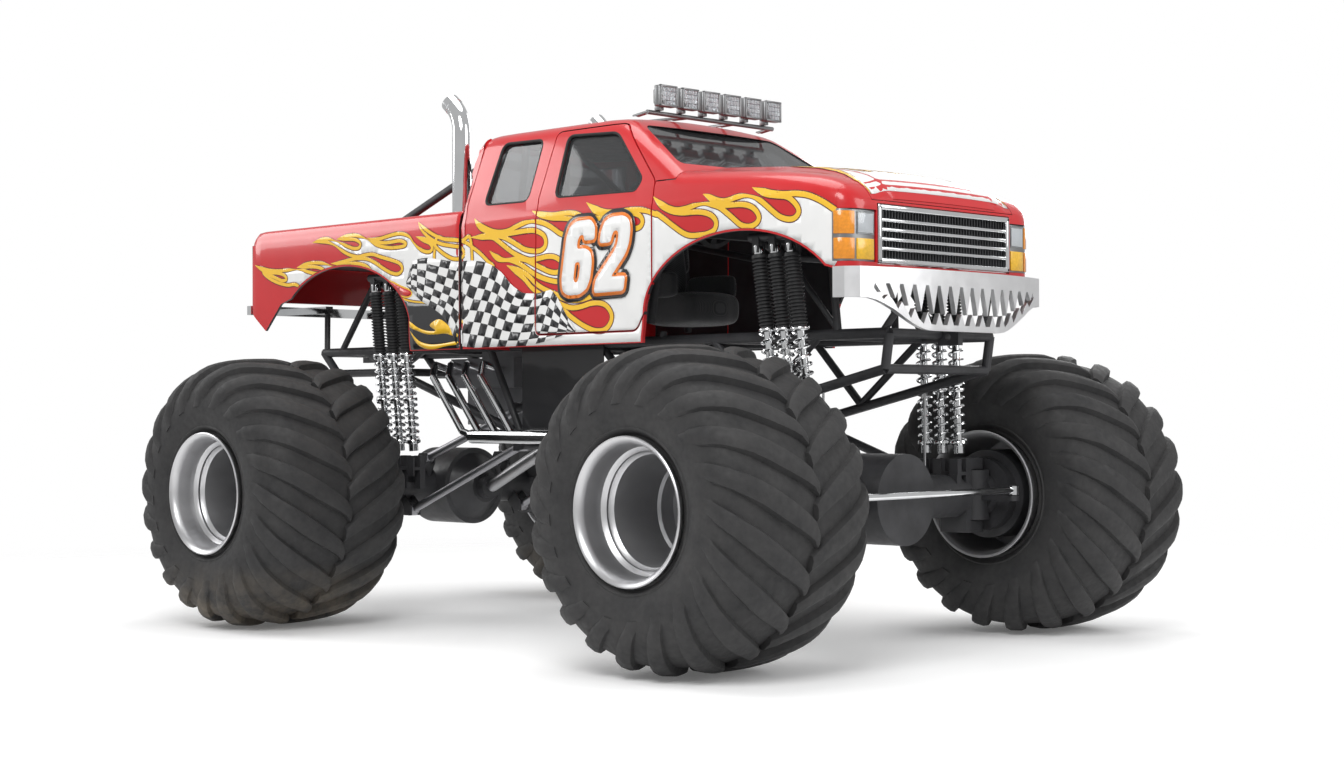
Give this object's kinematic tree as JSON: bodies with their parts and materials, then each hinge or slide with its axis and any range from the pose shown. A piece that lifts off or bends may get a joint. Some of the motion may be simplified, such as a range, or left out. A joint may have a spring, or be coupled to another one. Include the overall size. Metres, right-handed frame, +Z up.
{
  "type": "monster truck",
  "caption": "Monster truck with a pick-up body, tube chassis, coil-over shock absorbers, giant chevron-lug tyres, four-wheel steering and opening doors, tailgate and bonnet.",
  "frame": {"origin": "on the floor under the centre of the whole vehicle", "axes": "+X forward along the truck, +Y to its left, +Z up"},
  "size_m": [5.736, 4.04, 3.3478],
  "materials": {
    "frame_black": "satin black powder coat",
    "axle_black": "black painted casting",
    "link_steel": "grey sleeve over black rods",
    "chrome": "polished",
    "bare_steel": "satin",
    "cast_grey": "cast",
    "panel_black": "gloss black",
    "red_paint": "gloss red with traditional flames",
    "white_paint": "gloss white with traditional flames",
    "tinted_glass": "grey tint",
    "lamp_grey": "satin grey housing, clear lens",
    "red_lens": "lens",
    "seat_fabric": "woven cloth",
    "dash_plastic": "grained",
    "rim_aluminium": "satin",
    "tyre": "rubber"
  },
  "bodies": {
    "chassis": {"chassis_frame": "frame_black", "side_frame_left": "frame_black", "side_frame_right": "frame_black", "shock_towers": "frame_black", "roll_cage": "frame_black", "bed_bars": "frame_black", "front_axle": "axle_black", "rear_axle": "axle_black", "front_links": "frame_black", "rear_links": "link_steel", "front_shocks": "chrome", "rear_shocks": "chrome", "drive_shafts": "bare_steel", "transfer_case": "cast_grey", "engine_block": "cast_grey", "exhaust_headers": "chrome", "exhaust_stacks": "chrome", "side_panels": "panel_black", "limit_cables": "bare_steel", "cab_shell": "red_paint", "fender_left": "white_paint", "fender_right": "white_paint", "nose_panel": "red_paint", "bed": "red_paint", "windscreen": "tinted_glass", "rear_window": "tinted_glass", "quarter_windows": "tinted_glass", "grille": "chrome", "headlamps": "lamp_grey", "tail_lamps": "red_lens", "front_bumper": "chrome", "rear_bumper": "chrome", "light_bar": "lamp_grey", "roof_lamps": "lamp_grey", "driver_seat": "seat_fabric", "steering_column": "dash_plastic"},
    "knuckle_front_left": {"knuckle_front_left": "axle_black"},
    "wheel_front_left": {"rim_front_left": "rim_aluminium", "tyre_front_left": "tyre"},
    "knuckle_front_right": {"knuckle_front_right": "axle_black"},
    "wheel_front_right": {"rim_front_right": "rim_aluminium", "tyre_front_right": "tyre"},
    "track_rod_front": {"tie_rod_front": "chrome"},
    "knuckle_rear_left": {"knuckle_rear_left": "axle_black"},
    "wheel_rear_left": {"rim_rear_left": "rim_aluminium", "tyre_rear_left": "tyre"},
    "knuckle_rear_right": {"knuckle_rear_right": "axle_black"},
    "wheel_rear_right": {"rim_rear_right": "rim_aluminium", "tyre_rear_right": "tyre"},
    "track_rod_rear": {"tie_rod_rear": "chrome"},
    "left_door": {"door_left": "red_paint", "door_glass_left": "tinted_glass"},
    "right_door": {"door_right": "red_paint", "door_glass_right": "tinted_glass"},
    "tail_gate": {"tailgate": "red_paint"},
    "hood": {"bonnet": "white_paint"}
  },
  "joints": [
    {"name": "steer_front_left", "type": "hinge", "parent": "chassis", "child": "knuckle_front_left", "pos_m": [2.03, 0.85, 0.838], "axis": [0, 0, 1], "range_deg": [-30, 30]},
    {"name": "roll_front_left", "type": "hinge", "parent": "knuckle_front_left", "child": "wheel_front_left", "pos_m": [2.03, 1.4, 0.838], "axis": [0, 1, 0], "continuous": true},
    {"name": "steer_front_right", "type": "hinge", "parent": "chassis", "child": "knuckle_front_right", "pos_m": [2.03, -0.85, 0.838], "axis": [0, 0, 1], "range_deg": [-30, 30]},
    {"name": "roll_front_right", "type": "hinge", "parent": "knuckle_front_right", "child": "wheel_front_right", "pos_m": [2.03, -1.4, 0.838], "axis": [0, 1, 0], "continuous": true},
    {"name": "rod_front", "type": "hinge", "parent": "knuckle_front_left", "child": "track_rod_front", "pos_m": [2.33, 0.85, 0.868], "axis": [0, 0, 1], "range_deg": [-30, 30]},
    {"name": "steer_rear_left", "type": "hinge", "parent": "chassis", "child": "knuckle_rear_left", "pos_m": [-1.67, 0.85, 0.838], "axis": [0, 0, 1], "range_deg": [-30, 30]},
    {"name": "roll_rear_left", "type": "hinge", "parent": "knuckle_rear_left", "child": "wheel_rear_left", "pos_m": [-1.67, 1.4, 0.838], "axis": [0, 1, 0], "continuous": true},
    {"name": "steer_rear_right", "type": "hinge", "parent": "chassis", "child": "knuckle_rear_right", "pos_m": [-1.67, -0.85, 0.838], "axis": [0, 0, 1], "range_deg": [-30, 30]},
    {"name": "roll_rear_right", "type": "hinge", "parent": "knuckle_rear_right", "child": "wheel_rear_right", "pos_m": [-1.67, -1.4, 0.838], "axis": [0, 1, 0], "continuous": true},
    {"name": "rod_rear", "type": "hinge", "parent": "knuckle_rear_left", "child": "track_rod_rear", "pos_m": [-1.97, 0.85, 0.868], "axis": [0, 0, 1], "range_deg": [-30, 30]},
    {"name": "left_door_hinge", "type": "hinge", "parent": "chassis", "child": "left_door", "pos_m": [1.083, 0.847, 2.2], "axis": [0, 0, -1], "range_deg": [0, 65]},
    {"name": "right_door_hinge", "type": "hinge", "parent": "chassis", "child": "right_door", "pos_m": [1.083, -0.847, 2.2], "axis": [0, 0, 1], "range_deg": [0, 65]},
    {"name": "tailgate_hinge", "type": "hinge", "parent": "chassis", "child": "tail_gate", "pos_m": [-2.795, 0, 2.123], "axis": [0, -1, 0], "range_deg": [0, 90]},
    {"name": "bonnet_hinge", "type": "hinge", "parent": "chassis", "child": "hood", "pos_m": [1.241, 0, 2.699], "axis": [0, -1, 0], "range_deg": [0, 50]}
  ],
  "couplings": [
    {"joint": "steer_front_right", "follows": "steer_front_left", "ratio": 1},
    {"joint": "rod_front", "follows": "steer_front_left", "ratio": -1},
    {"joint": "steer_rear_right", "follows": "steer_rear_left", "ratio": 1},
    {"joint": "rod_rear", "follows": "steer_rear_left", "ratio": -1}
  ]
}
